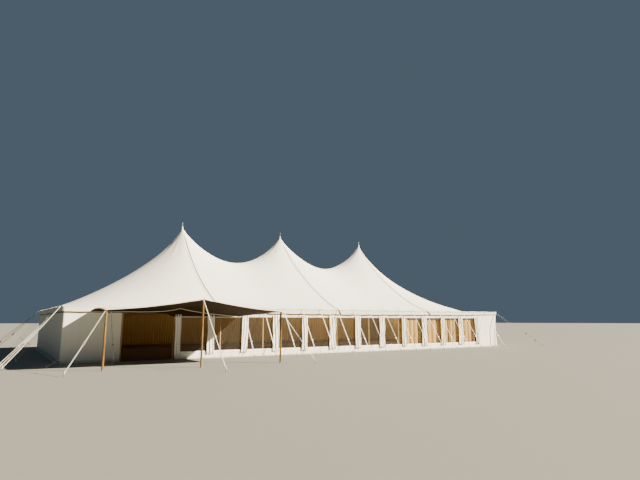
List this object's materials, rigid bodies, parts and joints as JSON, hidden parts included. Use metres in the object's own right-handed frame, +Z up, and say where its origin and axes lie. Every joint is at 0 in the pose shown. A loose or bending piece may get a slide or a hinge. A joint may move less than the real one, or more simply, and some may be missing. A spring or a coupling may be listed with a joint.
{
  "type": "marquee tent",
  "caption": "Traditional pole marquee tent: swooping canvas canopy over king poles, hung walls with clear windows, porch awning at the doorway and webbing guys to ground stakes.",
  "frame": {"origin": "on the ground under the middle king pole, on the underside of the floor matting", "axes": "+X along the ridge to the right end seen from the doorway side, +Y from the doorway side to the back, +Z up"},
  "size_m": [28.937, 20.1921, 6.9],
  "materials": {
    "canopy_canvas": "ivory proofed canvas, matt, with sewn panel seams",
    "walling": "white coated walling, soft hanging folds",
    "window_film": "clear flexible window film, glossy",
    "king_pole_wood": "varnished round timber",
    "pole_wood": "pale varnished round timber",
    "matting": "woven coir matting",
    "webbing": "white woven polyester webbing",
    "awning_canvas": "pale canvas with a turned hem",
    "steel": "galvanised steel of the stakes, pins and ratchets",
    "rope": "laid natural rope of the lacing and wall line"
  },
  "bodies": {
    "root": {"canopy_left_end": "canopy_canvas", "canopy_left_bay": "canopy_canvas", "canopy_right_bay": "canopy_canvas", "canopy_right_end": "canopy_canvas", "valance_front": "canopy_canvas", "valance_back": "canopy_canvas", "valance_left": "canopy_canvas", "valance_right": "canopy_canvas", "front_wall_left": "walling", "front_wall_right": "walling", "window_wall_left": "walling", "window_wall_middle": "walling", "window_wall_right": "walling", "window_film_left": "window_film", "window_film_middle": "window_film", "window_film_right": "window_film", "back_wall": "walling", "left_wall": "walling", "right_wall": "walling", "king_pole_left": "king_pole_wood", "king_pole_middle": "king_pole_wood", "king_pole_right": "king_pole_wood", "front_poles_left": "pole_wood", "front_poles_right": "pole_wood", "back_poles": "pole_wood", "left_end_poles": "pole_wood", "right_end_poles": "pole_wood", "coir_matting": "matting", "front_guys_left": "webbing", "front_band_over_porch": "webbing", "front_guys_right": "webbing", "back_guys": "webbing", "left_end_guys": "webbing", "right_end_guys": "webbing", "corner_guys_front_left": "webbing", "corner_guys_front_right": "webbing", "corner_guys_back_left": "webbing", "corner_guys_back_right": "webbing", "porch_awning": "awning_canvas", "porch_pole_left": "pole_wood", "porch_pole_apex": "pole_wood", "porch_pole_right": "pole_wood", "porch_guy_left": "webbing", "porch_guy_apex": "webbing", "porch_guy_right": "webbing"}
  },
  "joints": []
}
